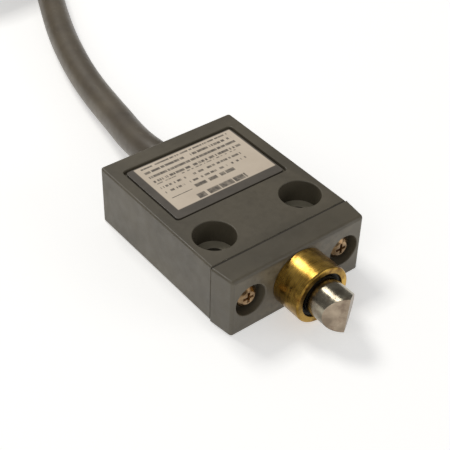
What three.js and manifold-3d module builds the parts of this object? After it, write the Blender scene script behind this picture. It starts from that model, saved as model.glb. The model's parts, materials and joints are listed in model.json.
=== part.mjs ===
// Compact prewired limit switch with a chisel-ended plunger, lying on its mounting face.
// Millimetres, +Z up. +Y runs from the plunger to the cable, +X is to the right of the plunger end.
// Origin: on the mounting face, midway between the two mounting holes.
import * as THREE from 'three';
import * as BufferGeometryUtils from 'three/addons/utils/BufferGeometryUtils.js';
import Module from 'manifold-3d';

const wasm = await Module();
wasm.setup();

// ---------------------------------------------------------------- driving dimensions
const FIT = 0.05;                 // gap between plain turned or flat pieces that touch
const CLEAR = 0.3;                // gap between pieces that are cut by each other

const BODY_W = 39;                // housing width
const BODY_T = 16;                // housing thickness
const SEAM_Y = -7.75;             // front end of the housing
const REAR_Y = 35.75;             // rear end of the housing
const CORNER_R = 0.9;             // upright corner radius
const EDGE = 0.5;                 // chamfer round the top and bottom
const AXIS_Z = 8.05;              // height of the plunger and the cable

const HOLE_X = 12.5;              // mounting holes, 25 mm apart
const HOLE_R = 2.55;
const CBORE_R = 5;
const CBORE_DEPTH = 6;

const RECESS_W = 32.5;            // name plate recess
const RECESS_Y = [8.85, 31.25];
const RECESS_DEPTH = 0.9;
const PLATE_GAP = 0.6;
const PLATE_T = 0.6;

const NECK_R = 6.2;               // bore in front of the switch chamber
const NECK_END = 6.3;
const SEAT_HOLE_R = 4.1;
const CHAMBER = { x: 13.5, y0: 7.75, z0: 2.5, z1: 13.6 };

const GASKET_T = 0.4;
const CAP_FRONT = -14.75;
const CAP_BACK = SEAM_Y - GASKET_T - 2 * FIT;
const CAP_W_BACK = 39.6;
const CAP_W_FRONT = 37.9;
const CAP_SCREW_X = 13.6;
const CAP_SCREW_Z = 8.2;
const SCREW = { shankR: 1.5, headR: 2.8, headH: 2.1, pocketR: 4.1, pocketDepth: 3.0, tip: -3.7 };

const BUSH_R = 7.33;              // brass guide bush
const BUSH_FRONT = -22.8;
const SHANK_R = 5.95;
const SHANK_END = -8.5;
const CLIP = { outerR: 6.9, innerR: 5.5, grooveR: 5.4, y0: -9.7, y1: -9.2, pocketR: 7.1, pocketFloor: -9.8 };
const BORE_R = 4.85;
const WIPER = { outerR: 5.65, y0: -22.3, y1: -20.95 };

const PIN_R = 4.75;               // plunger
const RIDGE_Y = -30.8;
const BEVEL_DEG = 57;             // each bevel to the plunger's axis
const TIP_ROLL_DEG = 5;           // the ridge leans this much from upright
const PIN_END = -7.2;
const FLANGE = { r: 5.9, y0: SHANK_END + FIT };
const PIN_BORE = { r: 3.2, y0: -12.4 };
const RING_GROOVE = { r: 3.5, y0: -17.6, y1: -16.1 };
const RING = { centreR: 4.17, tubeR: 0.6 };

const RETURN_SPRING = { meanR: 5.2, wireR: 0.4, turns: 6, y0: -6.75, y1: 4.5 };
const OVER_SPRING = { meanR: 2.5, wireR: 0.3, turns: 6, y0: -12.05, y1: -4.85 };
const SEAT = { flangeR: 6.0, hubR: 3.95, boreR: 1.95, y0: 5.0, y1: 6.25, y2: 8.6 };
const ACTUATOR = { pilotR: 1.9, flangeR: 3.0, shankR: 1.8, y: [-7.5, -4.5, -3.7, 11.35] };

const SWITCH = { x0: -8, x1: 11.8, y0: 12, y1: 22, z0: 4.9, z1: 10.3, coverT: 1 };
const CELL = { x0: -6.8, x1: 10.8, y0: 13.2, y1: 18.4, z0: 6 };
const BUTTON = { r: 1.1, flangeR: 1.7, y0: 11.5, flangeY: 13.3, flangeT: 0.6, y1: 14.35 };
const BLADE = { x0: -5.6, x1: 9.8, y0: 14.85, t: 0.2, z0: 6.5, z1: 9.9 };
const CONTACT = { x: 8.6, shankR: 0.45, headR: 1.0, headT: 0.4, z: 8.2 };
const TERMINAL = { t: 0.5, z0: 6.5, z1: 9.9, end: 24.6, slot: 0.1 };
const EYE = { r: 0.6, inset: 1.3 };
const COMMON_X = -5.9;
const NO_X = 2.4;
const NC_X = 10.25;
const SWITCH_PIN = { r: 1.0, holeR: 1.1, y: 20.2, x: [-2, 6.4], z0: 3.4, z1: 12.2 };
const CARRIER = { x: 13.2, y0: 9, y1: 24.6, z0: 2.6, z1: 4.8 };

const CABLE_R = 4.15;
const CABLE_START = 28.6;
const CLAMP = { outerR: 5.1, y0: 29.0, y1: 30.3 };
const POTTING = { y0: 30.5, y1: 35.4 };
const GROMMET = { plugR: 5.1, collarR: 6.0, tipR: 4.85, y0: 30.6, y1: 35.9, tip: 38.3 };
const CORE_R = 0.8;
const WIRE_SIDES = 8;
const WIRE_STEPS = 14;
const EARTH = { x: -10.4, y: 27.4 };

// Free cable: hand-laid route from inside the housing to where the coil takes over.
const LEAD_ROUTE = [
  [0, 28.6, 8.05], [0, 32, 8.05], [0, 36, 8.05], [0, 40.5, 7.9], [0.2, 46.2, 7.25],
  [1.3, 54, 6.2], [3.0, 62, 5.3], [4.7, 71, 4.6], [6.5, 80.8, 4.25], [8.8, 91, 4.2],
  [11.8, 101.5, 4.2], [15.3, 112, 4.2], [19.2, 122, 4.2], [23.1, 131.2, 4.2], [27, 140.4, 4.2],
  [30.9, 149.6, 4.25], [34.8, 158.8, 4.4], [38.7, 168, 4.7], [41.4, 174.4, 4.95], [44, 180.4, 5.1],
];
// Turns lying on each other, all of one radius. The last turn rises on to the top over its
// first part and ends a little past the point where the coil begins.
const COIL = { x: 5.6, y: 196.7, r: 41.75, lift: 0.95, pitch: 8.3, solidTurns: 3 };
const TAIL = { fromDeg: 232, toDeg: 367, riseDeg: 90, stepDeg: 9 };
const TIE = { t: 0.6, w: 3.6, deg: [85, 225] };
const CORE_TAIL = { r: 0.95, lengthDeg: 34, tipDeg: 8, tipR: 0.5 };

// ---------------------------------------------------------------- colours
const FINISH = {
  casting: { color: 0x57524a, roughness: 0.45, metalness: 0.6 },
  brass: { color: 0xb8913a, roughness: 0.3, metalness: 0.95 },
  steel: { color: 0xb4aea4, roughness: 0.3, metalness: 0.95 },
  plate: { color: 0xcabeac, roughness: 0.4, metalness: 0.3 },
  rubber: { color: 0x1c1b1a, roughness: 0.85, metalness: 0 },
  cable: { color: 0x5c5346, roughness: 0.6, metalness: 0 },
  nylon: { color: 0xe6e0cf, roughness: 0.5, metalness: 0 },
  phenolic: { color: 0x30211a, roughness: 0.5, metalness: 0 },
  copper: { color: 0xb5703e, roughness: 0.35, metalness: 0.9 },
  silver: { color: 0xd8d8d4, roughness: 0.25, metalness: 0.95 },
  resin: { color: 0x26241f, roughness: 0.35, metalness: 0 },
  paper: { color: 0xb9a27c, roughness: 0.8, metalness: 0 },
  coreBrown: { color: 0x5a3a22, roughness: 0.5, metalness: 0 },
  coreBlack: { color: 0x1d1d1d, roughness: 0.5, metalness: 0 },
  coreBlue: { color: 0x2d4f8c, roughness: 0.5, metalness: 0 },
  coreEarth: { color: 0x5f8a35, roughness: 0.5, metalness: 0 },
};

// ---------------------------------------------------------------- geometry helpers
function merged(geometry) {
  const plain = geometry.index ? geometry.toNonIndexed() : geometry.clone();
  for (const name of Object.keys(plain.attributes)) {
    if (name !== 'position') {
      plain.deleteAttribute(name);
    }
  }
  plain.clearGroups();
  return BufferGeometryUtils.mergeVertices(plain, 1e-5);
}

function signedVolume(geometry) {
  const p = geometry.attributes.position;
  const index = geometry.index.array;
  const a = new THREE.Vector3();
  const b = new THREE.Vector3();
  const c = new THREE.Vector3();
  let sum = 0;
  for (let i = 0; i < index.length; i += 3) {
    a.fromBufferAttribute(p, index[i]);
    b.fromBufferAttribute(p, index[i + 1]);
    c.fromBufferAttribute(p, index[i + 2]);
    sum += a.dot(b.cross(c));
  }
  return sum / 6;
}

// Merges shared vertices, drops triangles of no area and turns the faces outwards.
function closed(geometry) {
  const g = merged(geometry);
  const kept = [];
  const index = g.index.array;
  for (let i = 0; i < index.length; i += 3) {
    const [a, b, c] = [index[i], index[i + 1], index[i + 2]];
    if (a !== b && b !== c && c !== a) {
      kept.push(a, b, c);
    }
  }
  g.setIndex(kept);
  if (signedVolume(g) < 0) {
    const flipped = [];
    for (let i = 0; i < kept.length; i += 3) {
      flipped.push(kept[i], kept[i + 2], kept[i + 1]);
    }
    g.setIndex(flipped);
  }
  return g;
}

function solid(geometry) {
  const g = closed(geometry);
  return new wasm.Manifold(new wasm.Mesh({
    numProp: 3,
    vertProperties: new Float32Array(g.attributes.position.array),
    triVerts: new Uint32Array(g.index.array),
  }));
}

function surface(manifold) {
  const mesh = manifold.getMesh();
  const g = new THREE.BufferGeometry();
  g.setAttribute('position', new THREE.BufferAttribute(new Float32Array(mesh.vertProperties), 3));
  g.setIndex(new THREE.BufferAttribute(new Uint32Array(mesh.triVerts), 1));
  return g;
}

// A body with other bodies cut away from it.
function cut(body, ...tools) {
  let result = solid(body);
  for (const tool of tools) {
    result = result.subtract(solid(tool));
  }
  return surface(result);
}

function join(...bodies) {
  let result = solid(bodies[0]);
  for (const body of bodies.slice(1)) {
    result = result.add(solid(body));
  }
  return surface(result);
}

function box(x0, x1, y0, y1, z0, z1) {
  const g = new THREE.BoxGeometry(x1 - x0, y1 - y0, z1 - z0);
  return g.translate((x0 + x1) / 2, (y0 + y1) / 2, (z0 + z1) / 2);
}

// Cylinder along Y.
function rod(r, y0, y1, x = 0, z = AXIS_Z, sides = 32) {
  return new THREE.CylinderGeometry(r, r, y1 - y0, sides).translate(x, (y0 + y1) / 2, z);
}

// Cylinder along Z.
function post(r, z0, z1, x, y, sides = 32) {
  const g = new THREE.CylinderGeometry(r, r, z1 - z0, sides).rotateX(Math.PI / 2);
  return g.translate(x, y, (z0 + z1) / 2);
}

// Body of revolution about an axis along Y; the profile is a list of [radius, y].
function turned(profile, x = 0, z = AXIS_Z, sides = 40) {
  const points = profile.map(([r, y]) => new THREE.Vector2(r, y));
  const first = profile[0];
  const last = profile[profile.length - 1];
  if (first[0] > 0 || last[0] > 0) {
    points.push(new THREE.Vector2(first[0], first[1]));
  }
  return closed(new THREE.LatheGeometry(points, sides).translate(x, 0, z));
}

function ringY(innerR, outerR, y0, y1, sides = 32) {
  return turned([[innerR, y0], [outerR, y0], [outerR, y1], [innerR, y1]], 0, AXIS_Z, sides);
}

// Flat piece: an outline in plan, extruded from z0 to z1.
function slab(shape, z0, z1) {
  return new THREE.ExtrudeGeometry(shape, { depth: z1 - z0, bevelEnabled: false, curveSegments: 4 })
    .translate(0, 0, z0);
}

function outline(points) {
  return new THREE.Shape(points.map(([x, y]) => new THREE.Vector2(x, y)));
}

function circleShape(r, sides) {
  const points = [];
  for (let i = 0; i < sides; i++) {
    const a = (2 * Math.PI * (i + 0.5)) / sides;
    points.push([r * Math.cos(a), r * Math.sin(a)]);
  }
  return outline(points);
}

function tubeAlong(curve, r, sides, steps) {
  const settings = { steps, bevelEnabled: false, extrudePath: curve };
  return closed(new THREE.ExtrudeGeometry(circleShape(r, sides), settings));
}

function tube(route, r, sides, steps) {
  const points = route.map(([x, y, z]) => new THREE.Vector3(x, y, z));
  return tubeAlong(new THREE.CatmullRomCurve3(points, false, 'centripetal'), r, sides, steps);
}

class HelixY extends THREE.Curve {
  constructor(spring) {
    super();
    this.spring = spring;
  }

  getPoint(t, target = new THREE.Vector3()) {
    const { meanR, turns, y0, y1 } = this.spring;
    const a = 2 * Math.PI * turns * t;
    return target.set(meanR * Math.cos(a), y0 + (y1 - y0) * t, AXIS_Z + meanR * Math.sin(a));
  }
}

function coilSpring(spring) {
  const stepsPerTurn = 14;
  return tubeAlong(new HelixY(spring), spring.wireR, 6, spring.turns * stepsPerTurn);
}

function roundedPlan(width, y0, y1, radius) {
  const w = width / 2;
  const s = new THREE.Shape();
  s.moveTo(-w + radius, y0);
  s.lineTo(w - radius, y0);
  s.absarc(w - radius, y0 + radius, radius, -Math.PI / 2, 0);
  s.lineTo(w, y1 - radius);
  s.absarc(w - radius, y1 - radius, radius, 0, Math.PI / 2);
  s.lineTo(-w + radius, y1);
  s.absarc(-w + radius, y1 - radius, radius, Math.PI / 2, Math.PI);
  s.lineTo(-w, y0 + radius);
  s.absarc(-w + radius, y0 + radius, radius, Math.PI, 1.5 * Math.PI);
  return s;
}

// Block with a chamfer round its top and bottom outline.
function edgedBlock(shape, height, edge) {
  const settings = {
    depth: height - 2 * edge,
    bevelEnabled: true,
    bevelSegments: 1,
    bevelThickness: edge,
    bevelSize: edge,
    bevelOffset: -edge,
    curveSegments: 3,
  };
  return new THREE.ExtrudeGeometry(shape, settings).translate(0, 0, edge);
}

const model = new THREE.Group();

function add(name, geometry, finish) {
  const material = new THREE.MeshStandardMaterial(FINISH[finish]);
  const mesh = new THREE.Mesh(closed(geometry), material);
  mesh.name = name;
  model.add(mesh);
  return mesh;
}

// ---------------------------------------------------------------- housing and front cap
function housing() {
  const block = edgedBlock(roundedPlan(BODY_W, SEAM_Y, REAR_Y, CORNER_R), BODY_T, EDGE);
  const cuts = [
    box(-RECESS_W / 2, RECESS_W / 2, RECESS_Y[0], RECESS_Y[1], BODY_T - RECESS_DEPTH, BODY_T + 1),
    rod(NECK_R, SEAM_Y - 1, NECK_END, 0, AXIS_Z, 40),
    rod(SEAT_HOLE_R, NECK_END - 1, CHAMBER.y0 + 1),
    box(-CHAMBER.x, CHAMBER.x, CHAMBER.y0, REAR_Y + 1, CHAMBER.z0, CHAMBER.z1),
    post(1.25, 0.7, CHAMBER.z0 + 1, EARTH.x, EARTH.y, 20),
  ];
  for (const side of [-1, 1]) {
    cuts.push(post(HOLE_R, -1, BODY_T + 1, side * HOLE_X, 0, 40));
    cuts.push(post(CBORE_R, BODY_T - CBORE_DEPTH, BODY_T + 1, side * HOLE_X, 0, 48));
    cuts.push(rod(SCREW.shankR + FIT, SEAM_Y - 1, SCREW.tip + 0.2, side * CAP_SCREW_X, CAP_SCREW_Z, 20));
  }
  return cut(block, ...cuts);
}

function taperedPlan(y0, y1, widthBack, widthFront) {
  return outline([
    [-widthFront / 2, y0], [widthFront / 2, y0], [widthBack / 2, y1], [-widthBack / 2, y1],
  ]);
}

function frontCap() {
  const shape = taperedPlan(CAP_FRONT, CAP_BACK, CAP_W_BACK, CAP_W_FRONT);
  const block = edgedBlock(shape, BODY_T, EDGE);
  const cuts = [
    rod(SHANK_R + FIT, CAP_FRONT - 1, CAP_BACK + 1, 0, AXIS_Z, 40),
    rod(CLIP.pocketR, CLIP.pocketFloor, CAP_BACK + 1, 0, AXIS_Z, 40),
  ];
  for (const side of [-1, 1]) {
    const x = side * CAP_SCREW_X;
    cuts.push(rod(SCREW.shankR + 0.15, CAP_FRONT - 1, CAP_BACK + 1, x, CAP_SCREW_Z, 24));
    cuts.push(rod(SCREW.pocketR, CAP_FRONT - 1, CAP_FRONT + SCREW.pocketDepth, x, CAP_SCREW_Z, 32));
  }
  return cut(block, ...cuts);
}

function gasket() {
  const inset = 0.35;
  const w = BODY_W / 2 - inset;
  const sheet = box(-w, w, SEAM_Y - GASKET_T - FIT, SEAM_Y - FIT, inset, BODY_T - inset);
  const holes = [rod(CLIP.pocketR, SEAM_Y - 2, SEAM_Y + 1, 0, AXIS_Z, 40)];
  for (const side of [-1, 1]) {
    holes.push(rod(SCREW.shankR + 0.15, SEAM_Y - 2, SEAM_Y + 1, side * CAP_SCREW_X, CAP_SCREW_Z, 24));
  }
  return cut(sheet, ...holes);
}

// Pan-head screw with a cross recess, its head towards -Y.
function capScrew(x) {
  const seat = CAP_FRONT + SCREW.pocketDepth - FIT;
  const top = seat - SCREW.headH;
  const profile = [
    [0, top], [1.6, top], [2.4, top + 0.35], [SCREW.headR, top + 1.0], [SCREW.headR, seat],
    [SCREW.shankR, seat], [SCREW.shankR, SCREW.tip - 0.4], [SCREW.shankR - 0.4, SCREW.tip], [0, SCREW.tip],
  ];
  const crossLength = 1.5;
  const crossWidth = 0.35;
  const z = CAP_SCREW_Z;
  return cut(
    turned(profile, x, z, 28),
    box(x - crossLength, x + crossLength, top - 1, top + 1.0, z - crossWidth, z + crossWidth),
    box(x - crossWidth, x + crossWidth, top - 1, top + 1.0, z - crossLength, z + crossLength),
  );
}

function namePlate() {
  const shape = roundedPlan(
    RECESS_W - 2 * PLATE_GAP, RECESS_Y[0] + PLATE_GAP, RECESS_Y[1] - PLATE_GAP, 1,
  );
  const z0 = BODY_T - RECESS_DEPTH + FIT;
  return slab(shape, z0, z0 + PLATE_T);
}

add('housing', housing(), 'casting');
add('front_cap', frontCap(), 'casting');
add('cap_gasket', gasket(), 'rubber');
add('cap_screw_left', capScrew(-CAP_SCREW_X), 'steel');
add('cap_screw_right', capScrew(CAP_SCREW_X), 'steel');
add('name_plate', namePlate(), 'plate');

// ---------------------------------------------------------------- guide bush and plunger
function guideBush() {
  const shoulder = CAP_FRONT - FIT;
  return turned([
    [WIPER.outerR + FIT, BUSH_FRONT], [BUSH_R - 0.4, BUSH_FRONT], [BUSH_R, BUSH_FRONT + 0.4],
    [BUSH_R, shoulder], [SHANK_R, shoulder], [SHANK_R, CLIP.y0 - FIT], [CLIP.grooveR, CLIP.y0 - FIT],
    [CLIP.grooveR, CLIP.y1 + FIT], [SHANK_R, CLIP.y1 + FIT], [SHANK_R, SHANK_END], [BORE_R, SHANK_END],
    [BORE_R, WIPER.y1 + FIT], [WIPER.outerR + FIT, WIPER.y1 + FIT],
  ], 0, AXIS_Z, 48);
}

function circlip() {
  const gap = box(-1.2, 1.2, CLIP.y0 - 1, CLIP.y1 + 1, AXIS_Z, AXIS_Z + 9);
  return cut(ringY(CLIP.innerR, CLIP.outerR, CLIP.y0, CLIP.y1, 36), gap);
}

function wiperSeal() {
  return turned([
    [PIN_R + FIT, WIPER.y0 + 0.55], [PIN_R + 0.35, WIPER.y0 + 0.3], [WIPER.outerR, WIPER.y0],
    [WIPER.outerR, WIPER.y1], [PIN_R + FIT, WIPER.y1],
  ], 0, AXIS_Z, 40);
}

// Chisel point: two bevels that meet in a ridge across the plunger.
function plunger() {
  const turnedBody = turned([
    [0, RIDGE_Y], [PIN_R, RIDGE_Y], [PIN_R, RING_GROOVE.y0], [RING_GROOVE.r, RING_GROOVE.y0],
    [RING_GROOVE.r, RING_GROOVE.y1], [PIN_R, RING_GROOVE.y1], [PIN_R, FLANGE.y0], [FLANGE.r, FLANGE.y0],
    [FLANGE.r, PIN_END], [PIN_BORE.r, PIN_END], [PIN_BORE.r, PIN_BORE.y0], [0, PIN_BORE.y0],
  ], 0, AXIS_Z, 48);
  const wide = 8;
  const back = wide / Math.tan(THREE.MathUtils.degToRad(BEVEL_DEG));
  const bevels = [-1, 1].map((side) => {
    const wedge = outline([
      [0, RIDGE_Y], [side * wide, RIDGE_Y + back], [side * wide, RIDGE_Y - 2], [0, RIDGE_Y - 2],
    ]);
    return slab(wedge, -wide, wide)
      .rotateY(THREE.MathUtils.degToRad(TIP_ROLL_DEG))
      .translate(0, 0, AXIS_Z);
  });
  return cut(turnedBody, ...bevels);
}

function plungerRing() {
  const y = (RING_GROOVE.y0 + RING_GROOVE.y1) / 2;
  return new THREE.TorusGeometry(RING.centreR, RING.tubeR, 10, 36)
    .rotateX(Math.PI / 2)
    .translate(0, y, AXIS_Z);
}

function springSeat() {
  return turned([
    [SEAT.boreR, SEAT.y0], [SEAT.flangeR, SEAT.y0], [SEAT.flangeR, SEAT.y1], [SEAT.hubR, SEAT.y1],
    [SEAT.hubR, SEAT.y2], [SEAT.boreR, SEAT.y2],
  ], 0, AXIS_Z, 32);
}

function actuatorPin() {
  const [y0, y1, y2, y3] = ACTUATOR.y;
  const { pilotR, flangeR, shankR } = ACTUATOR;
  return turned([
    [0, y0], [pilotR, y0], [pilotR, y1], [flangeR, y1], [flangeR, y2], [shankR, y2],
    [shankR, y3 - 0.3], [shankR - 0.3, y3], [0, y3],
  ], 0, AXIS_Z, 24);
}

add('guide_bush', guideBush(), 'brass');
add('bush_circlip', circlip(), 'steel');
add('wiper_seal', wiperSeal(), 'rubber');
add('plunger', plunger(), 'steel');
add('plunger_seal_ring', plungerRing(), 'rubber');
add('return_spring', coilSpring(RETURN_SPRING), 'steel');
add('overtravel_spring', coilSpring(OVER_SPRING), 'steel');
add('spring_seat', springSeat(), 'nylon');
add('actuator_pin', actuatorPin(), 'nylon');

// ---------------------------------------------------------------- snap-action switch
const BLADE_FRONT = BLADE.y0;
const BLADE_BACK = BLADE.y0 + BLADE.t;
const CONTACT_GAP = 0.6;

function terminalSlots() {
  const { t, z0, slot } = TERMINAL;
  return [COMMON_X, NO_X, NC_X].map((x) => (
    box(x - t / 2 - slot, x + t / 2 + slot, CELL.y1 - 1, SWITCH.y1 + 1, z0 - slot, SWITCH.z1 + 1)
  ));
}

function switchCase() {
  const { x0, x1, y0, y1, z0, z1 } = SWITCH;
  const pinHoles = SWITCH_PIN.x.map((x) => post(SWITCH_PIN.holeR, z0 - 1, z1 + 1, x, SWITCH_PIN.y, 20));
  return cut(
    box(x0, x1, y0, y1, z0, z1),
    box(CELL.x0, CELL.x1, CELL.y0, CELL.y1, CELL.z0, z1 + 1),
    rod(BUTTON.r + 0.1, y0 - 1, CELL.y0 + 1, 0, AXIS_Z, 20),
    ...terminalSlots(),
    ...pinHoles,
  );
}

function switchCover() {
  const { x0, x1, y0, y1, z1, coverT } = SWITCH;
  const z = z1 + FIT;
  const pinHoles = SWITCH_PIN.x.map((x) => (
    post(SWITCH_PIN.holeR, z - 1, z + coverT + 1, x, SWITCH_PIN.y, 20)
  ));
  return cut(box(x0, x1, y0, y1, z, z + coverT), ...pinHoles);
}

function switchButton() {
  const { r, flangeR, y0, flangeY, flangeT, y1 } = BUTTON;
  return turned([
    [0, y0], [r - 0.3, y0], [r, y0 + 0.3], [r, flangeY], [flangeR, flangeY],
    [flangeR, flangeY + flangeT], [r, flangeY + flangeT], [r - 0.4, y1], [0, y1],
  ], 0, AXIS_Z, 20);
}

function solderEye(x, end) {
  return new THREE.CylinderGeometry(EYE.r, EYE.r, 4, 16)
    .rotateZ(Math.PI / 2)
    .translate(x, end - EYE.inset, CONTACT.z);
}

function commonTerminal() {
  const { t, z0, z1, end } = TERMINAL;
  const x = COMMON_X;
  const strip = box(x - t / 2, x + t / 2, BLADE_FRONT - 0.8, end, z0, z1);
  return cut(strip, solderEye(x, end));
}

// Flat strip that runs forward beside the blade and turns across to carry a fixed contact.
function contactTerminal(x, padY, padT, towards) {
  const { t, z0, z1, end } = TERMINAL;
  const strip = box(x - t / 2, x + t / 2, Math.min(padY, padY + padT), end, z0, z1);
  const reach = CONTACT.x + towards * 1.2;
  const pad = box(Math.min(x - t / 2, reach), Math.max(x + t / 2, reach), padY, padY + padT, z0, z1);
  return cut(join(strip, pad), solderEye(x, end));
}

function fixedContact(y0, y1) {
  return rod(CONTACT.headR, y0, y1, CONTACT.x, CONTACT.z, 16);
}

function contactBlade() {
  const { x0, x1, y0, t, z0, z1 } = BLADE;
  return cut(
    box(x0, x1, y0, y0 + t, z0, z1),
    rod(CONTACT.shankR + FIT, y0 - 1, y0 + 2, CONTACT.x, CONTACT.z, 16),
    box(x0 + 3.5, x1 - 4.5, y0 - 1, y0 + 2, z0 + 0.9, z0 + 1.3),
    box(x0 + 3.5, x1 - 4.5, y0 - 1, y0 + 2, z1 - 1.3, z1 - 0.9),
  );
}

function movingContact() {
  const { shankR, headR, headT, x, z } = CONTACT;
  const front = BLADE_FRONT - FIT;
  const back = BLADE_BACK + FIT;
  return turned([
    [0, front - headT], [headR, front - headT], [headR, front], [shankR, front],
    [shankR, back], [headR, back], [headR, back + headT], [0, back + headT],
  ], x, z, 16);
}

const NC_FACE = BLADE_FRONT - FIT - CONTACT.headT - 0.05;
const NO_FACE = BLADE_BACK + FIT + CONTACT.headT + CONTACT_GAP;
const PAD_T = 0.4;
const FIXED_CONTACT_T = 0.3;

add('switch_case', switchCase(), 'phenolic');
add('switch_cover', switchCover(), 'phenolic');
add('switch_button', switchButton(), 'nylon');
add('common_terminal', commonTerminal(), 'brass');
add('nc_terminal', contactTerminal(NC_X, NC_FACE - FIXED_CONTACT_T - PAD_T - FIT, PAD_T, -1), 'brass');
add('no_terminal', contactTerminal(NO_X, NO_FACE + FIXED_CONTACT_T + FIT, PAD_T, 1), 'brass');
add('nc_contact', fixedContact(NC_FACE - FIXED_CONTACT_T, NC_FACE), 'silver');
add('no_contact', fixedContact(NO_FACE, NO_FACE + FIXED_CONTACT_T), 'silver');
add('contact_blade', contactBlade(), 'copper');
add('moving_contact', movingContact(), 'silver');

function switchCarrier() {
  const { x, y0, y1, z0, z1 } = CARRIER;
  const plate = box(-x, x, y0, y1, z0, z1);
  const rails = [-1, 1].map((side) => {
    const inner = side < 0 ? SWITCH.x0 - 0.1 : SWITCH.x1 + 0.1;
    return box(Math.min(side * x, inner), Math.max(side * x, inner), 12, 22, z1 - 0.5, z1 + 4);
  });
  const sockets = SWITCH_PIN.x.map((px) => (
    post(SWITCH_PIN.r + FIT, SWITCH_PIN.z0 - FIT, z1 + 1, px, SWITCH_PIN.y, 20)
  ));
  return cut(join(plate, ...rails), ...sockets);
}

add('switch_carrier', switchCarrier(), 'nylon');
SWITCH_PIN.x.forEach((x, i) => {
  const name = ['switch_pin_left', 'switch_pin_right'][i];
  add(name, post(SWITCH_PIN.r, SWITCH_PIN.z0, SWITCH_PIN.z1, x, SWITCH_PIN.y, 20), 'steel');
});
add('insulation_sheet', box(-12.8, 12.8, 8.6, 28, 12.8, 13.1), 'paper');

// ---------------------------------------------------------------- wiring and cable entry
const CORE_OFFSET = 1.7;
const CORE_HIGH = AXIS_Z + CORE_OFFSET;
const CORE_LOW = AXIS_Z - CORE_OFFSET;
const CORE_ENDS = [
  { name: 'wire_common', x: COMMON_X, end: [-CORE_OFFSET, CORE_HIGH], ease: 2.7, finish: 'coreBrown' },
  { name: 'wire_no', x: NO_X, end: [CORE_OFFSET * 0.9, CORE_LOW], ease: 1.8, finish: 'coreBlue' },
  { name: 'wire_nc', x: NC_X, end: [CORE_OFFSET, CORE_HIGH], ease: 3.65, finish: 'coreBlack' },
];

// One smooth sweep between two points; the inner two points set how gently it leaves each end.
function sweptWire(points) {
  const [a, b, c, d] = points.map(([x, y, z]) => new THREE.Vector3(x, y, z));
  return tubeAlong(new THREE.CubicBezierCurve3(a, b, c, d), CORE_R, WIRE_SIDES, WIRE_STEPS);
}

for (const { name, x, end, ease, finish } of CORE_ENDS) {
  const y0 = TERMINAL.end + 0.2;
  const y1 = CABLE_START - 0.1;
  const [endX, endZ] = end;
  const z = CONTACT.z;
  add(name, sweptWire([[x, y0, z], [x, y0 + ease, z], [endX, y1 - ease, endZ], [endX, y1, endZ]]), finish);
}

function earthLug() {
  const { x, y } = EARTH;
  const z = CHAMBER.z0 + FIT;
  const plate = join(post(2.5, z, z + 0.5, x, y, 28), box(x, x + 4.4, y - 1, y + 1, z, z + 0.5));
  return cut(plate, post(1.35, z - 1, z + 2, x, y, 20));
}

function earthScrew() {
  const { x, y } = EARTH;
  const z = CHAMBER.z0 + 2 * FIT + 0.5;
  const head = join(post(2.2, z, z + 1.5, x, y, 24), post(1.2, 0.9, z + 0.5, x, y, 20));
  return cut(head, box(x - 3, x + 3, y - 0.3, y + 0.3, z + 0.7, z + 3));
}

add('earth_lug', earthLug(), 'silver');
add('earth_screw', earthScrew(), 'steel');
const EARTH_END = [-CORE_OFFSET, CORE_LOW];
add('wire_earth', sweptWire([
  [EARTH.x + 3.4, EARTH.y, 3.95], [EARTH.x + 5.4, EARTH.y, 3.95],
  [EARTH_END[0], CABLE_START - 2.7, EARTH_END[1]], [EARTH_END[0], CABLE_START - 0.2, EARTH_END[1]],
]), 'coreEarth');

add('cable_clamp', ringY(CABLE_R + FIT * 2, CLAMP.outerR, CLAMP.y0, CLAMP.y1, 32), 'steel');

function pottingBlock() {
  const wide = CHAMBER.x - 0.1;
  const block = box(-wide, wide, POTTING.y0, POTTING.y1, CHAMBER.z0 + 0.1, CHAMBER.z1 - 0.1);
  return cut(block, rod(GROMMET.plugR + 0.1, POTTING.y0 - 1, POTTING.y1 + 1, 0, AXIS_Z, 36));
}

function cableGrommet() {
  const bore = CABLE_R + 0.1;
  const { plugR, collarR, tipR, y0, y1, tip } = GROMMET;
  return turned([
    [bore, y0], [plugR, y0], [plugR, y1], [collarR, y1], [collarR - 0.1, y1 + 0.6],
    [tipR + 0.35, tip - 0.7], [tipR, tip], [bore, tip],
  ], 0, AXIS_Z, 36);
}

add('potting_block', pottingBlock(), 'resin');
add('cable_grommet', cableGrommet(), 'rubber');

// ---------------------------------------------------------------- free cable
const COIL_Z = COIL.lift + CABLE_R;

// Outer shape of the wound turns, one on top of the other.
function coilProfile(grow) {
  const half = CABLE_R + grow;
  const topZ = COIL_Z + COIL.pitch * (COIL.solidTurns - 1);
  const arc = (centreZ, fromDeg) => [0, 30, 60, 90, 120, 150, 180].map((step) => {
    const a = THREE.MathUtils.degToRad(fromDeg + step);
    return [COIL.r + half * Math.cos(a), centreZ + half * Math.sin(a)];
  });
  return [...arc(COIL_Z, 180), ...arc(topZ, 0)];
}

function coilRing(grow) {
  return closed(turned(coilProfile(grow), 0, 0, 72).rotateX(Math.PI / 2).translate(COIL.x, COIL.y, 0));
}

function polarPoint(deg, r, z) {
  const a = THREE.MathUtils.degToRad(deg);
  return [COIL.x + r * Math.cos(a), COIL.y + r * Math.sin(a), z];
}

function largestPiece(manifold) {
  const pieces = manifold.decompose();
  pieces.sort((a, b) => b.volume() - a.volume());
  return surface(pieces[0]);
}

function tubeOutsideCoil(route, steps) {
  const whole = solid(tube(route, CABLE_R, 10, steps));
  return largestPiece(whole.subtract(solid(coilRing(CLEAR))));
}

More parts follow.
